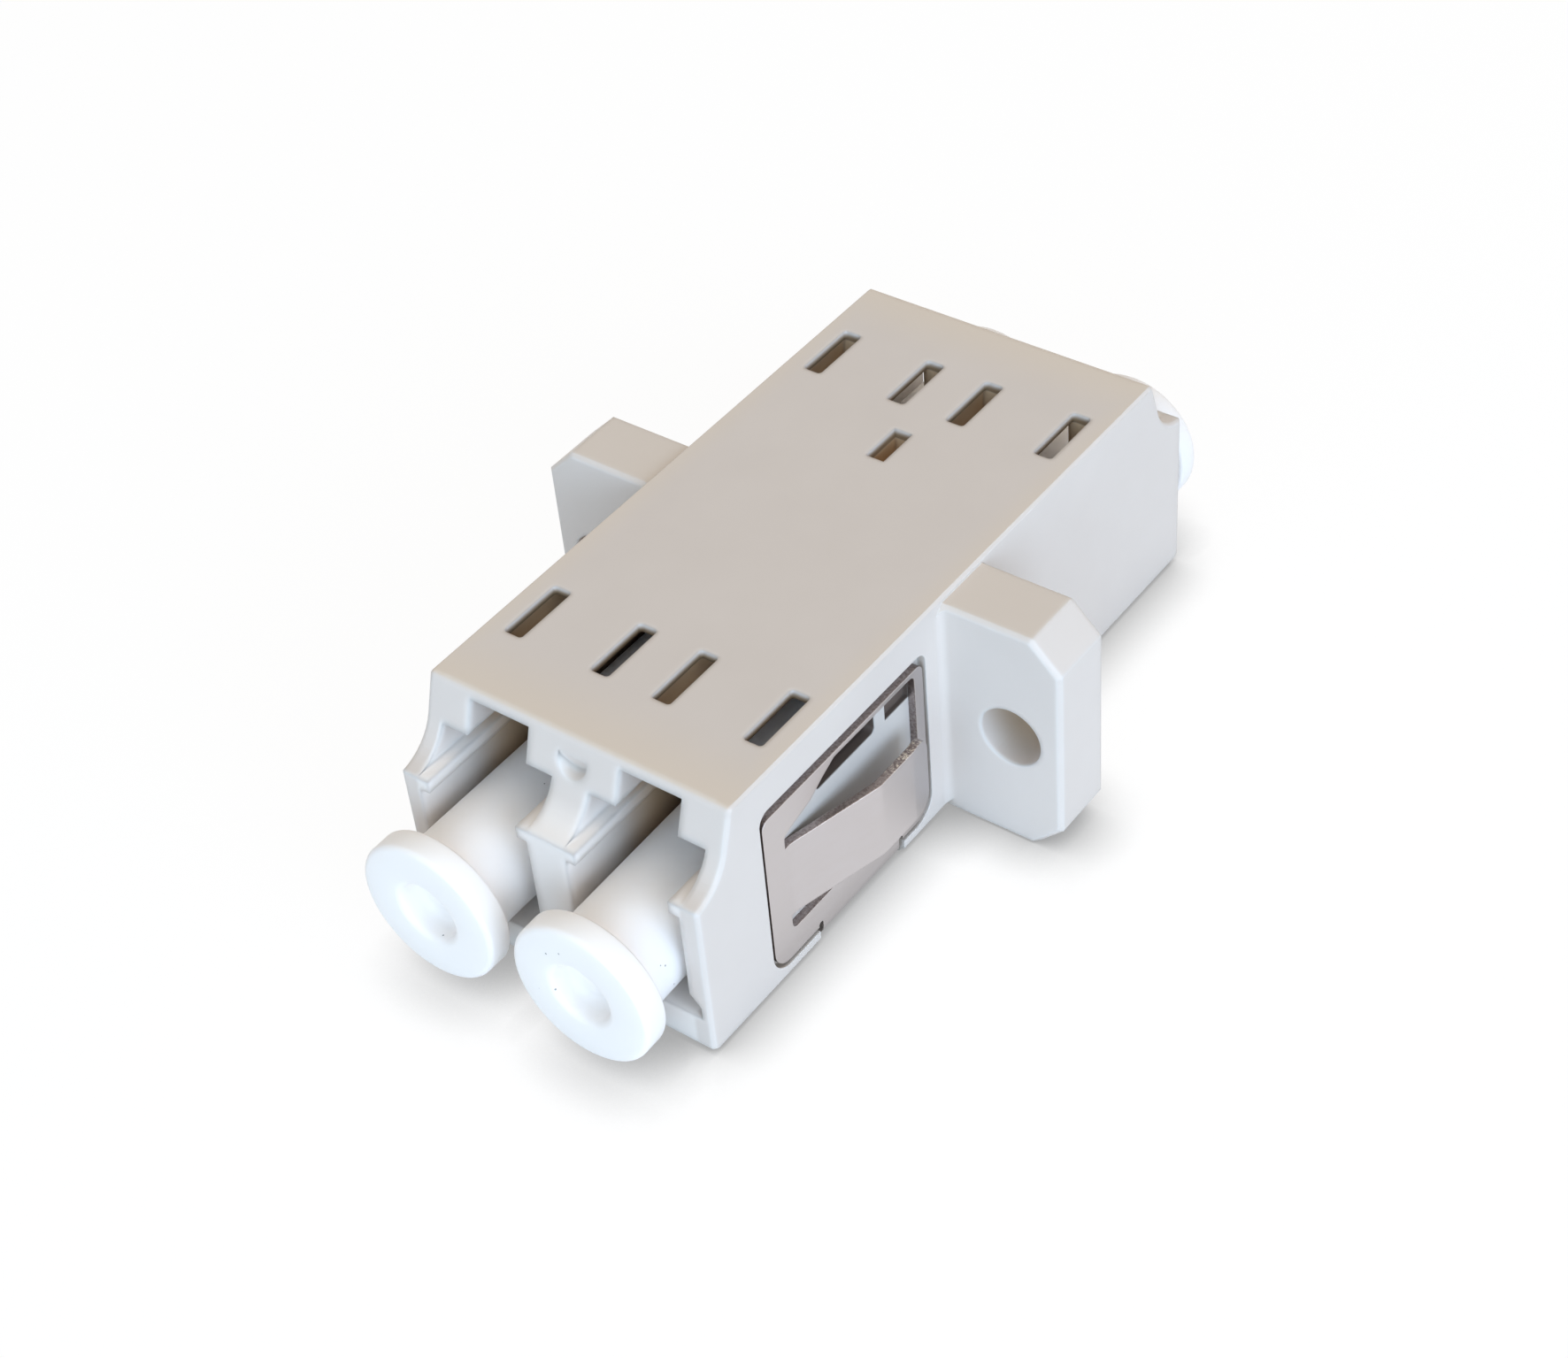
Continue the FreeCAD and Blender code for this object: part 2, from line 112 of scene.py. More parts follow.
# Regions of a piece that look different, each a list of soft steps: the place that a step reads,
# where it is 0 and where it is 1, in millimetres. "across" and "along" have no sign, "y" has one,
# and "hole" is the squared distance from the nearest screw hole's axis.
regions = {
    # The top face, all below it, and the top face's stretches near its long sides and its ends
    "top": [("height", 9.3, 9.5)],
    "below the top": [("height", 9.5, 9.3)],
    "side margins": [("across", 5.0, 6.8)],
    "end margins": [("along", 9.8, 13.0)],
    # The ports' walls and the windows' walls, growing from each opening inwards, which get painted
    # shade
    "inside": [("across", 5.6, 5.5), ("along", 12.6, 9.6), ("height", 9.55, 9.1),
               ("height", 1.5, 1.8)],
    # The ports' walls near their openings, which get painted light
    "port mouths": [("across", 5.6, 5.4), ("along", 11.2, 13.0), ("height", 7.6, 6.8)],
    # The depths of the front ports, below the roof, which get dark painted shade
    "port depths": [("across", 5.5, 5.4), ("y", -11.5, -8.0), ("y", -2.0, -3.0),
                    ("height", 8.4, 8.0), ("height", 1.5, 1.8)],
    # The edge of the roof in the windows, painted darker as shade from its top down
    "window walls": [("across", 5.65, 5.55), ("along", 11.4, 11.2), ("height", 9.59, 9.30),
                     ("height", 9.16, 9.24)],
    # The clip's seat, as it shows through the clip's window, painted a light grey over its painted
    # crevice shade
    "clip seat": [("across", 5.80, 5.84), ("across", 5.98, 5.94), ("along", 10.0, 9.0),
                  ("height", 3.0, 4.5), ("height", 8.0, 7.5)],
    # The slots that show through the clip's window, without the seat's floor, which get dark
    # painted shade
    "side slots": [("across", 4.9, 5.1), ("across", 5.86, 5.8), ("along", 11.0, 10.0),
                   ("height", 6.25, 6.3), ("height", 7.2, 7.15)],
    # The screw holes' walls, growing from the front of the flange inwards, which get painted shade
    "screw holes": [("hole", 1.50, 1.46), ("y", -0.9, 0.9)],
    # The top round the windows, whose rims get no painted highlight
    "window rims": [("across", 5.7, 5.6), ("along", 11.2, 10.8), ("height", 9.0, 9.1)],
    # The long top edges, which get little painted highlight, and their stretch by the flange that
    # gets a painted glint
    "long top edges": [("across", 5.9, 6.0), ("across", 6.4, 6.3), ("height", 9.2, 9.3),
                       ("along", 14.6, 14.4)],
    "edge glint": [("across", 6.0, 6.05), ("across", 6.3, 6.25), ("height", 9.3, 9.4),
                   ("y", -1.4, -0.6), ("y", 8.0, 3.0)],
    # Where the body's edges are softer: its ears, its ends, and the middle between its sides
    "ears": [("across", 6.3, 6.6)],
    "ends": [("along", 12.3, 12.8)],
    "middle": [("across", 5.7, 5.5)],
    # The top edge of the clip's tongues near their tips, where the cut left a burr, painted as a
    # bright glint
    "tongue burr": [("y", -5.9, -4.9), ("y", -3.3, -3.9), ("height", 5.4, 5.6),
                    ("height", 6.1, 5.9)],
    # The caps' stems, up to their heads, which are painted lighter as painted light
    "cap stems": [("along", 16.4, 15.6)],
}

# Colours of the body. A pair is the two ends of a faint mottle. The second pair, darker and warmer,
# is painted shade on the faces that look up.
upright_colours = ((0.695, 0.64, 0.595), (0.73, 0.675, 0.63))
shaded_top_colours = ((0.655, 0.595, 0.545), (0.69, 0.63, 0.58))
top_margin_colour = (0.71, 0.625, 0.53)
# Painted highlight on the body's edges, and a painted glint on the top edge by the flange
painted_edge_highlight_colour = (0.84, 0.82, 0.79)
edge_glint_colour = (1.0, 0.99, 0.97)
# Painted shade in the body's crevices
crevice_shade_colour = (0.50, 0.42, 0.34)
body_speck_colour = (0.25, 0.22, 0.2)

# Painted light and shade laid over the body's colour in turn: the region, how strongly, and the
# colour. The port mouths get painted light, the clip's seat a light grey over its crevice shade,
# the rest painted shade.
painted_region_light_and_shade = [
    ("inside", 1.0, (0.72, 0.53, 0.34)),
    ("port mouths", 0.85, (0.88, 0.84, 0.80)),
    ("port depths", 1.0, (0.17, 0.11, 0.07)),
    ("window walls", 1.0, (0.30, 0.21, 0.13)),
    ("clip seat", 0.7, (0.60, 0.585, 0.56)),
    ("side slots", 1.0, (0.13, 0.10, 0.085)),
    ("screw holes", 1.0, (0.52, 0.42, 0.31)),
]

# Colours of the clip, the caps and the sleeves
steel_colours = ((0.57, 0.535, 0.535), (0.61, 0.58, 0.585))
torn_colours = ((0.24, 0.19, 0.185), (0.52, 0.46, 0.44))
# Painted highlight on the clip's edges, the painted glint of its burr, and painted shade in its
# narrow gaps
steel_edge_highlight_colour = (0.74, 0.71, 0.70)
burr_glint_colour = (1.0, 0.93, 0.80)
steel_crevice_shade_colour = (0.05, 0.045, 0.05)
cap_colours = ((0.985, 0.92, 0.885), (1.0, 0.94, 0.905))
# The stems' lighter colour is painted light
cap_stem_light_colour = (1.0, 0.985, 0.98)
cap_speck_colour = (0.35, 0.33, 0.32)
ceramic_colours = ((0.84, 0.83, 0.79), (0.88, 0.87, 0.84))

# Soft edges, in metres: the body's least radius, what its ears and ends and its middle add to
# that, and the clip's radius
body_edge_radius = 0.00006
end_edge_radius = 0.00022
middle_edge_radius = 0.0002
clip_edge_radius = 0.00006

# How well the rounded normal agrees with the flat one where an edge begins and where it is full,
# and the share of the painted highlight that the long top edges lose
edge_agreement = (0.995, 0.80)
top_edge_loss = 0.8

# How near other walls have to be, in metres, for a place to get painted shade as a crevice
body_crevice = 0.001
clip_crevice = 0.0005

# Camera, fitted to the photograph's vanishing points
camera_place = (0.048051, -0.059582, 0.071375)
camera_turn = (47.857, 4.182, 36.092)
camera_lens = 65.572
camera_sensor = 36.0

# Light: what each lamp gives a white face turned to it, beside an even light from all round.
# The side window and the front one are cool and low, and the one overhead is warm.
ambient = (0.37, 0.37, 0.37)
lamps = {
    "side window": ((0.42, -0.13, 0.10), 0.36, (0.58, 0.73, 0.93)),
    "front window": ((0.11, -0.42, 0.12), 0.36, (0.34, 0.475, 0.61)),
    "overhead": ((0.03, 0.05, 0.50), 0.40, (0.31, 0.25, 0.18)),
}
white = (1.0, 1.0, 1.0)

# Floor: its side, and how far its painted contact shadow reaches, in metres. Then how open the
# floor is where that shadow is full and where it ends, and how light it is at both.
floor_side = 2.0
contact_reach = 0.0025
contact_open = (0.3, 0.95)
contact_light = (0.40, 1.0)

# How white the floor is under the lamps, how strong its own plain glow is, and the share of that
# glow in what the camera sees of it
floor_white = 0.8
floor_glow = 1.06
glow_share = 0.85


def add_nodes(tree):
    """A short helper that adds a node to a tree, sets its values and links its inputs."""
    def node(kind, values=None, links=None, **settings):
        made = tree.nodes.new(kind)
        for name, value in settings.items():
            setattr(made, name, value)
        for key, value in (values or {}).items():
            made.inputs[key].default_value = value
        for key, source in (links or {}).items():
            tree.links.new(source, made.inputs[key])
        return made

    return node


def new_group(name, inputs, outputs):
    """A shader node group with named sockets. Returns the tree, its input and output nodes."""
    tree = bpy.data.node_groups.new(name, "ShaderNodeTree")
    for label, kind, default in inputs:
        socket = tree.interface.new_socket(label, in_out="INPUT", socket_type=kind)
        if default is not None:
            socket.default_value = default
    for label, kind in outputs:
        tree.interface.new_socket(label, in_out="OUTPUT", socket_type=kind)
    return tree, tree.nodes.new("NodeGroupInput"), tree.nodes.new("NodeGroupOutput")


def combined(node, kind, *values):
    """Several values joined by one kind of sum, two at a time. Each is a socket or a number."""
    total = values[0]
    for value in values[1:]:
        made = node("ShaderNodeMath", operation=kind)
        for socket, given in zip(made.inputs, (total, value)):
            if isinstance(given, bpy.types.NodeSocket):
                made.id_data.links.new(given, socket)
            else:
                socket.default_value = given
        total = made.outputs[0]
    return total


def without_sign(node, value):
    """The size of a value."""
    return node("ShaderNodeMath", {}, {0: value}, operation="ABSOLUTE").outputs[0]


def mapped(node, value, low, high, start=0.0, end=1.0, kind="LINEAR"):
    """A value carried from low and high to start and end, and held there beyond them."""
    made = node("ShaderNodeMapRange", {"From Min": low, "From Max": high, "To Min": start,
                                       "To Max": end}, {"Value": value}, interpolation_type=kind)
    return made.outputs[0]


def smooth_step(node, value, zero, one):
    """Rises softly from 0 to 1 between two values."""
    return mapped(node, value, zero, one, kind="SMOOTHSTEP")


def region(node, places, name, *share):
    """Mask of a region: the product of its soft steps, and of a share where one is given."""
    steps = [smooth_step(node, places[place], zero, one) for place, zero, one in regions[name]]
    return combined(node, "MULTIPLY", *steps, *share)


def mix_colour(node, factor, first, second):
    """Blend of two colours, each a socket or a plain colour.

    The mix node takes its factor at input 0 and colours at 6 and 7, and gives one at output 2.
    """
    mixed = node("ShaderNodeMix", data_type="RGBA")
    tree = mixed.id_data
    tree.links.new(factor, mixed.inputs[0])
    for index, value in ((6, first), (7, second)):
        if isinstance(value, bpy.types.NodeSocket):
            tree.links.new(value, mixed.inputs[index])
        else:
            mixed.inputs[index].default_value = (*value, 1.0)
    return mixed.outputs[2]


def painted(node, base, *layers):
    """A base colour with others laid over it in turn, each a mask and a colour."""
    for mask, colour in layers:
        base = mix_colour(node, mask, base, colour)
    return base


def moulded_grain_group():
    """Fine height of a moulded surface plus a slow mottle, both from noise on millimetres."""
    tree, given, result = new_group(
        "moulded grain",
        [("Vector", "NodeSocketVector", None), ("Grain Size", "NodeSocketFloat", 0.25)],
        [("Height", "NodeSocketFloat"), ("Mottle", "NodeSocketFloat")],
    )
    node = add_nodes(tree)
    rate = combined(node, "DIVIDE", 1.0, given.outputs["Grain Size"])
    fine = node("ShaderNodeTexNoise", {"Detail": 3.0, "Roughness": 0.6},
                {"Vector": given.outputs["Vector"], "Scale": rate})
    slow = node("ShaderNodeTexNoise", {"Scale": 0.45, "Detail": 2.0, "Roughness": 0.5},
                {"Vector": given.outputs["Vector"]})
    tree.links.new(fine.outputs["Fac"], result.inputs["Height"])
    tree.links.new(slow.outputs["Fac"], result.inputs["Mottle"])
    return tree


def dust_group():
    """A mask of rare small specks: the middle of each cell of a fine pattern, kept at random."""
    tree, given, result = new_group(
        "dust specks",
        [("Vector", "NodeSocketVector", None), ("Cells Per mm", "NodeSocketFloat", 0.6),
         ("Speck Size", "NodeSocketFloat", 0.03), ("Share", "NodeSocketFloat", 0.12)],
        [("Mask", "NodeSocketFloat")],
    )
    node = add_nodes(tree)
    cells = node("ShaderNodeTexVoronoi", {"Randomness": 1.0},
                 {"Vector": given.outputs["Vector"], "Scale": given.outputs["Cells Per mm"]})
    near = combined(node, "LESS_THAN", cells.outputs["Distance"], given.outputs["Speck Size"])
    chance = node("ShaderNodeSeparateColor", {}, {"Color": cells.outputs["Color"]})
    kept = combined(node, "LESS_THAN", chance.outputs["Red"], given.outputs["Share"])
    tree.links.new(combined(node, "MULTIPLY", near, kept), result.inputs["Mask"])
    return tree


def soft_edge_group():
    """Normal of a slightly rounded edge, and how far it turns from the flat face."""
    tree, given, result = new_group(
        "soft edges",
        [("Radius", "NodeSocketFloat", None)],
        [("Normal", "NodeSocketVector"), ("Edge", "NodeSocketFloat")],
    )
    node = add_nodes(tree)
    bevel = node("ShaderNodeBevel", {}, {"Radius": given.outputs["Radius"]}, samples=6)
    shape = node("ShaderNodeNewGeometry")
    same = node("ShaderNodeVectorMath", {}, {0: bevel.outputs[0], 1: shape.outputs["True Normal"]},
                operation="DOT_PRODUCT")
    tree.links.new(bevel.outputs[0], result.inputs["Normal"])
    tree.links.new(mapped(node, same.outputs["Value"], *edge_agreement), result.inputs["Edge"])
    return tree


grain = moulded_grain_group()
dust = dust_group()
soft_edge = soft_edge_group()


def new_material(name):
    """A material with one shader. Returns its parts and the piece's coordinates in millimetres."""
    material = bpy.data.materials.new(name)
    material.use_nodes = True
    tree = material.node_tree
    tree.nodes.clear()
    node = add_nodes(tree)
    surface = node("ShaderNodeOutputMaterial")
    shader = node("ShaderNodeBsdfPrincipled")
    tree.links.new(shader.outputs[0], surface.inputs["Surface"])
    place = node("ShaderNodeTexCoord")
    in_mm = node("ShaderNodeMapping", {"Scale": (1 / MM, 1 / MM, 1 / MM)},
                 {"Vector": place.outputs["Object"]})
    return material, tree, node, shader, in_mm.outputs[0]


def places_of(node, at):
    """Where a point lies: across and along without sign, along with its sign, and its height."""
    place = node("ShaderNodeSeparateXYZ", {}, {"Vector": at}).outputs
    return {"across": without_sign(node, place["X"]), "along": without_sign(node, place["Y"]),
            "y": place["Y"], "height": place["Z"]}


def hole_distance(node, places):
    """Squared distance of a point from the axis of the nearest screw hole."""
    x = combined(node, "SUBTRACT", places["across"], hole_across)
    z = combined(node, "SUBTRACT", places["height"], hole_height)
    return combined(node, "ADD", combined(node, "MULTIPLY", x, x),
                    combined(node, "MULTIPLY", z, z))


def flat_normal(node):
    """The flat normal of the surface, in the piece's own coordinates, as its three parts."""
    shape = node("ShaderNodeNewGeometry")
    turned = node("ShaderNodeVectorTransform", {}, {"Vector": shape.outputs["True Normal"]},
                  vector_type="NORMAL", convert_from="WORLD", convert_to="OBJECT")
    return node("ShaderNodeSeparateXYZ", {}, {"Vector": turned.outputs[0]}).outputs


def top_margin(node, places):
    """Mask of the top face near its outline, where the plastic looks warmer."""
    near = combined(node, "MAXIMUM", region(node, places, "side margins"),
                    region(node, places, "end margins"))
    return combined(node, "MULTIPLY", near, region(node, places, "top"))


def edge_radius(node, places):
    """Radius of the body's soft edges: least on its long sides, more on its ears and ends."""
    wide = combined(node, "MAXIMUM", region(node, places, "ears"), region(node, places, "ends"))
    return combined(node, "ADD", body_edge_radius,
                    combined(node, "MULTIPLY", wide, end_edge_radius),
                    region(node, places, "middle", middle_edge_radius))


def body_plastic():
    """Light warm grey moulded plastic, fine grain and a few dust specks, painted darker on faces
    that look up, with painted highlights on its edges and darker tan painted shade in its cavities.
    """
    material, tree, node, shader, at = new_material("body plastic")
    places = places_of(node, at)
    places["hole"] = hole_distance(node, places)
    group = node("ShaderNodeGroup", {"Grain Size": 0.16}, {"Vector": at}, node_tree=grain)
    edge = node("ShaderNodeGroup", {}, {"Radius": edge_radius(node, places)}, node_tree=soft_edge)
    specks = node("ShaderNodeGroup", {}, {"Vector": at}, node_tree=dust)
    hollow = node("ShaderNodeAmbientOcclusion", {"Distance": body_crevice}, samples=8)
    # Faces that look up: the darker pair, which is painted shade, with the warmer margin over it
    level = painted(node, mix_colour(node, group.outputs["Mottle"], *shaded_top_colours),
                    (top_margin(node, places), top_margin_colour))
    lit = combined(node, "SUBTRACT", 1.0, region(node, places, "window rims"),
                   region(node, places, "long top edges", top_edge_loss))
    glint = region(node, places, "edge glint")
    below_top = region(node, places, "below the top")
    base = painted(
        node, mix_colour(node, group.outputs["Mottle"], *upright_colours),
        # Painted shade: faces that look up take the darker colour
        (smooth_step(node, flat_normal(node)["Z"], 0.7, 0.95), level),
        # Painted highlight on the edges, and a painted glint on the top edge by the flange
        (combined(node, "MULTIPLY", edge.outputs["Edge"], lit), painted_edge_highlight_colour),
        (combined(node, "MULTIPLY", edge.outputs["Edge"], glint), edge_glint_colour),
        # Painted shade where other walls stand near
        (smooth_step(node, hollow.outputs["AO"], 0.6, 0.05), crevice_shade_colour),
        # The regions' painted light and shade
        *[(region(node, places, name, share), colour) for name, share, colour in painted_region_light_and_shade],
        (combined(node, "MULTIPLY", specks.outputs["Mask"], below_top), body_speck_colour),
    )
    tree.links.new(base, shader.inputs["Base Color"])
    bump = node("ShaderNodeBump", {"Strength": 0.06, "Distance": 0.00002},
                {"Height": group.outputs["Height"], "Normal": edge.outputs["Normal"]})
    tree.links.new(bump.outputs[0], shader.inputs["Normal"])
    shader.inputs["Roughness"].default_value = 0.42
    return material


def clip_steel():
    """Rolled stainless sheet: long faint rolling lines, torn dark faces where it was cut, a painted
    highlight on its edges, a burr's painted glint and painted shade in its narrow gaps.
    """
    material, tree, node, shader, at = new_material("clip steel")
    places = places_of(node, at)
    lines = node("ShaderNodeMapping", {"Scale": (0.6, 0.15, 1.4)}, {"Vector": at})
    rolled = node("ShaderNodeTexNoise", {"Scale": 3.0, "Detail": 4.0, "Roughness": 0.6},
                  {"Vector": lines.outputs[0]}).outputs["Fac"]
    torn = node("ShaderNodeTexNoise", {"Scale": 9.0, "Detail": 5.0, "Roughness": 0.75},
                {"Vector": at}).outputs["Fac"]
    edge = node("ShaderNodeGroup", {"Radius": clip_edge_radius}, node_tree=soft_edge)
    # Above the bend the sheet's own faces look across, so a face there that doesn't was cut
    sideways = without_sign(node, flat_normal(node)["X"])
    sheared = combined(node, "MULTIPLY", combined(node, "LESS_THAN", sideways, 0.5),
                       combined(node, "GREATER_THAN", places["height"], strap_bend))
    burr = combined(node, "MULTIPLY", region(node, places, "tongue burr"),
                    smooth_step(node, torn, 0.5, 0.62), sheared)
    narrow = node("ShaderNodeAmbientOcclusion", {"Distance": clip_crevice}, samples=8)
    base = painted(
        node, mix_colour(node, rolled, *steel_colours),
        # Painted highlight on the edges, the burr's painted glint, and painted shade in narrow gaps
        # and holes
        (edge.outputs["Edge"], steel_edge_highlight_colour),
        (sheared, mix_colour(node, smooth_step(node, torn, 0.3, 0.7), *torn_colours)),
        (burr, burr_glint_colour),
        (mapped(node, narrow.outputs["AO"], 0.1, 0.8, 0.7, 0.0), steel_crevice_shade_colour),
    )
    tree.links.new(base, shader.inputs["Base Color"])
    shader.inputs["Metallic"].default_value = 1.0
    tree.links.new(mapped(node, rolled, 0.3, 0.7, 0.34, 0.42), shader.inputs["Roughness"])
    tearing = combined(node, "MULTIPLY", torn, sheared)
    bump = node("ShaderNodeBump", {"Strength": 0.03, "Distance": 0.00003},
                {"Height": tearing, "Normal": edge.outputs["Normal"]})
    tree.links.new(bump.outputs[0], shader.inputs["Normal"])
    return material


def cap_plastic():
    """Soft white cap plastic, slightly waxy, with a faint mottle, a little dust, and stems painted
    lighter and cooler than the heads as painted light.
    """
    material, tree, node, shader, at = new_material("cap plastic")
    group = node("ShaderNodeGroup", {"Grain Size": 0.3}, {"Vector": at}, node_tree=grain)
    specks = node("ShaderNodeGroup", {"Cells Per mm": 1.6, "Speck Size": 0.06, "Share": 0.2},
                  {"Vector": at}, node_tree=dust)
    base = painted(
        node, mix_colour(node, group.outputs["Mottle"], *cap_colours),
        # Painted light: the stems lighter and cooler than the heads
        (region(node, places_of(node, at), "cap stems"), cap_stem_light_colour),
        (specks.outputs["Mask"], cap_speck_colour),
    )
    tree.links.new(base, shader.inputs["Base Color"])
    shader.inputs["Subsurface Weight"].default_value = 0.6
    shader.inputs["Subsurface Radius"].default_value = (1.0, 1.0, 1.0)
    shader.inputs["Subsurface Scale"].default_value = 0.0006
    bump = node("ShaderNodeBump", {"Strength": 0.05, "Distance": 0.00003},
                {"Height": group.outputs["Height"]})
    tree.links.new(bump.outputs[0], shader.inputs["Normal"])
    shader.inputs["Roughness"].default_value = 0.4
    return material


def sleeve_ceramic():
    """Polished white ceramic with a faint warm cloud."""
    material, tree, node, shader, at = new_material("sleeve ceramic")
    group = node("ShaderNodeGroup", {}, {"Vector": at}, node_tree=grain)
    base = mix_colour(node, group.outputs["Mottle"], *ceramic_colours)
    tree.links.new(base, shader.inputs["Base Color"])
    shader.inputs["Roughness"].default_value = 0.15
    return material


def assign(obj, material):
    """Put one material in every slot of a piece."""
    if not obj.material_slots:
        obj.data.materials.append(material)
    for slot in obj.material_slots:
        slot.material = material


def surface_mesh(name, points):
    """A grid of points as one quad mesh: rows along a profile, and columns that close all round."""
    rows, columns = points.shape[:2]
    index = np.arange(rows * columns).reshape(rows, columns)
    beside = np.roll(index, -1, axis=1)
    quads = np.stack([index[:-1], beside[:-1], beside[1:], index[1:]], axis=-1).reshape(-1, 4)
    mesh = bpy.data.meshes.new(name)
    mesh.from_pydata(points.reshape(-1, 3).tolist(), [], quads.tolist())
    obj = bpy.data.objects.new(name, mesh)
    bpy.context.scene.collection.objects.link(obj)
    return obj


def corner_arc(centre, radius, start, end, steps=8):
    """Points (distance from the axis, distance along it) of an arc from start to end degrees."""
    angle = np.radians(np.linspace(start, end, steps))
    return np.stack([centre[0] + radius * np.cos(angle),
                     centre[1] + radius * np.sin(angle)], axis=1)


def cap_profile():
    """The cap's half outline from the bore's end round the stem and head to the dimple."""
    dimple_floor = head_front - dimple_depth
    stem = np.linspace(cap_inner_end + stem_start, head_back - stem_root - root_gap, stem_rows)
    return np.concatenate([
        [[0.0, cap_bore_end], [cap_bore_radius - bore_chamfer, cap_bore_end]],
        [[cap_bore_radius, cap_bore_end - bore_chamfer],
         [cap_bore_radius, cap_inner_end + bore_chamfer]],
        [[cap_bore_radius + bore_chamfer, cap_inner_end],
         [stem_radius - inner_face_inset, cap_inner_end]],
        corner_arc((stem_radius - inner_rim, cap_inner_end + inner_rim), inner_rim, -80, 0, 5),
        np.stack([np.full(stem_rows, stem_radius), stem], axis=1),
        corner_arc((stem_radius + stem_root, head_back - stem_root), stem_root, 180, 90),
        corner_arc((head_radius - back_rim, head_back + back_rim), back_rim, -90, 0),
        corner_arc((head_radius - front_rim, head_front - front_rim), front_rim, 0, 90),
        corner_arc((dimple_radius + dimple_lip, head_front - dimple_lip), dimple_lip, 90, 180),
        corner_arc((dimple_radius - dimple_corner, dimple_floor + dimple_corner),
                   dimple_corner, 0, -90),
        [[dimple_flat, dimple_floor], [0.0, dimple_floor]],
    ])


def finish_mesh(obj):
    """Close poles and seams, turn faces outwards and shade the piece smooth."""
    mesh = bmesh.new()
    mesh.from_mesh(obj.data)
    bmesh.ops.remove_doubles(mesh, verts=mesh.verts, dist=weld_distance)
    bmesh.ops.dissolve_degenerate(mesh, edges=mesh.edges, dist=shortest_edge)
    bmesh.ops.recalc_face_normals(mesh, faces=mesh.faces)
    mesh.to_mesh(obj.data)
    mesh.free()
    obj.data.polygons.foreach_set("use_smooth", [True] * len(obj.data.polygons))
    obj.data.update()


def dust_cap(name, centre, y_sign, push, lean, body, node_name):
    """The cap's profile turned about its port's axis, which runs along Y, pushed in by a length.

    From the barrel on, the axis leans by a share of the distance, as far as the port has play.
    """
    profile = cap_profile() - [0.0, push]
    around = np.linspace(0, 2 * np.pi, cap_columns + 1)[:-1]
    radius = profile[:, 0:1]
    along = np.repeat(profile[:, 1:2], around.size, axis=1)
    x = centre + radius * np.cos(around) + (along - barrel_middle) * lean[0]
    z = cap_axis_height + radius * np.sin(around) + (along - barrel_middle) * lean[1]
    points = np.stack([x, y_sign * along, z], axis=-1) * MM
    obj = surface_mesh(name, points)
    finish_mesh(obj)
    assign(obj, materials["cap_plastic"])
    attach(obj, body)
    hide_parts(node_name)


materials = {
    "body_plastic": body_plastic(),
    "clip_steel": clip_steel(),
    "cap_plastic": cap_plastic(),
    "sleeve_ceramic": sleeve_ceramic(),
}
for subpart in frame["record"]["subparts"]:
    assign(nodes[subpart["node"]], materials[subpart["material_slot"]])

for side, centre in (("left", -port_pitch / 2), ("right", port_pitch / 2)):
    for end, y_sign, push in (("front", -1, 0.0), ("rear", 1, rear_cap_push)):
        dust_cap(f"cap_{end}_{side}", centre, y_sign, push, cap_leans[end, side],
                 f"{end}_{side}_cap", f"dust_cap_{end}_{side}")


def background_rays(node):
    """1 for a ray that looks at the background: from the camera, or by way of gloss or glass."""
    ray = node("ShaderNodeLightPath")
    return combined(node, "MAXIMUM", ray.outputs["Is Camera Ray"], ray.outputs["Is Glossy Ray"],
                    ray.outputs["Is Transmission Ray"])


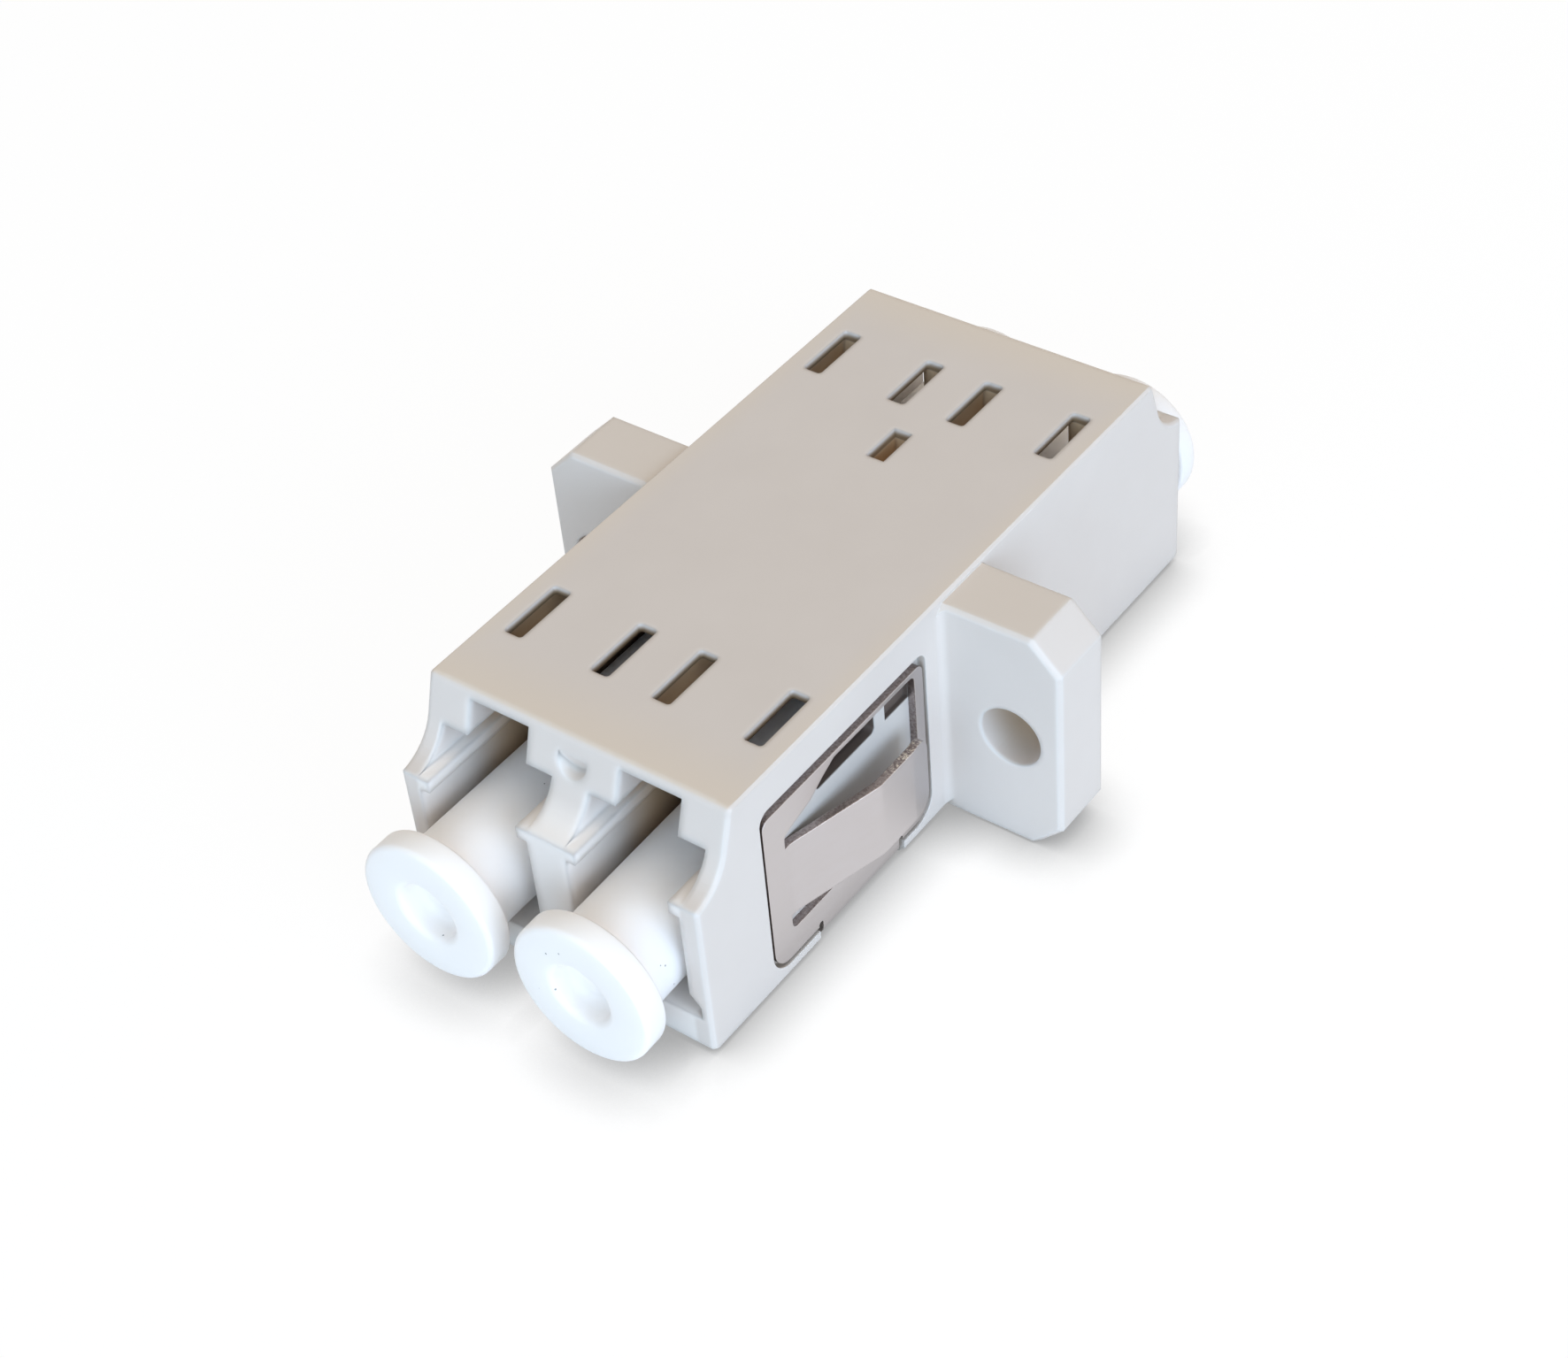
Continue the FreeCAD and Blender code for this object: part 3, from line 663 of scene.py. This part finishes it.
def floor():
    """A wide white floor that keeps a soft shadow, with a painted contact shadow near the object,
    and shows white to camera and gloss.
    """
    bpy.ops.mesh.primitive_plane_add(size=floor_side, location=(0, 0, 0))
    plane = bpy.context.object
    plane.name = "floor"
    material = bpy.data.materials.new("white floor")
    material.use_nodes = True
    tree = material.node_tree
    tree.nodes.clear()
    node = add_nodes(tree)
    surface = node("ShaderNodeOutputMaterial")
    near = node("ShaderNodeAmbientOcclusion", {"Distance": contact_reach}, samples=16)
    # Painted contact shadow: the floor dims where the object stands near
    halo = mapped(node, near.outputs["AO"], *contact_open, *contact_light)
    dimmed = combined(node, "MULTIPLY", halo, floor_white)
    matt = node("ShaderNodeBsdfDiffuse", {}, {"Color": dimmed})
    glow = node("ShaderNodeEmission", {"Strength": floor_glow}, {"Color": halo})
    share = combined(node, "MULTIPLY", background_rays(node), glow_share)
    shown = node("ShaderNodeMixShader", {}, {0: share, 1: matt.outputs[0], 2: glow.outputs[0]})
    tree.links.new(shown.outputs[0], surface.inputs["Surface"])
    assign(plane, material)


def soft_lamp(name, place, size, light):
    """A square lamp that faces the origin. Its power is its light times (pi x distance) squared."""
    data = bpy.data.lights.new(name, "AREA")
    data.size = size
    data.color = [level / max(light) for level in light]
    data.energy = max(light) * (math.pi * math.dist(place, (0, 0, 0))) ** 2
    lamp = bpy.data.objects.new(name, data)
    bpy.context.scene.collection.objects.link(lamp)
    lamp.location = place
    lamp.rotation_euler = (-Vector(place)).to_track_quat("-Z", "Y").to_euler()


def world():
    """An even light from all round, which the camera and gloss see as white."""
    shade = bpy.data.worlds.new("studio")
    bpy.context.scene.world = shade
    shade.use_nodes = True
    tree = shade.node_tree
    node = add_nodes(tree)
    colour = mix_colour(node, background_rays(node), ambient, white)
    tree.links.new(colour, tree.nodes["Background"].inputs["Color"])


def camera():
    """The camera, at the photograph's viewing angle."""
    data = bpy.data.cameras.new("camera")
    data.lens = camera_lens
    data.sensor_width = camera_sensor
    data.clip_start = MM
    view = bpy.data.objects.new("camera", data)
    bpy.context.scene.collection.objects.link(view)
    view.location = camera_place
    view.rotation_euler = tuple(math.radians(angle) for angle in camera_turn)
    bpy.context.scene.camera = view


floor()
world()
camera()
for name, (place, size, light) in lamps.items():
    soft_lamp(name, place, size, light)
bpy.context.scene.view_settings.view_transform = "Standard"
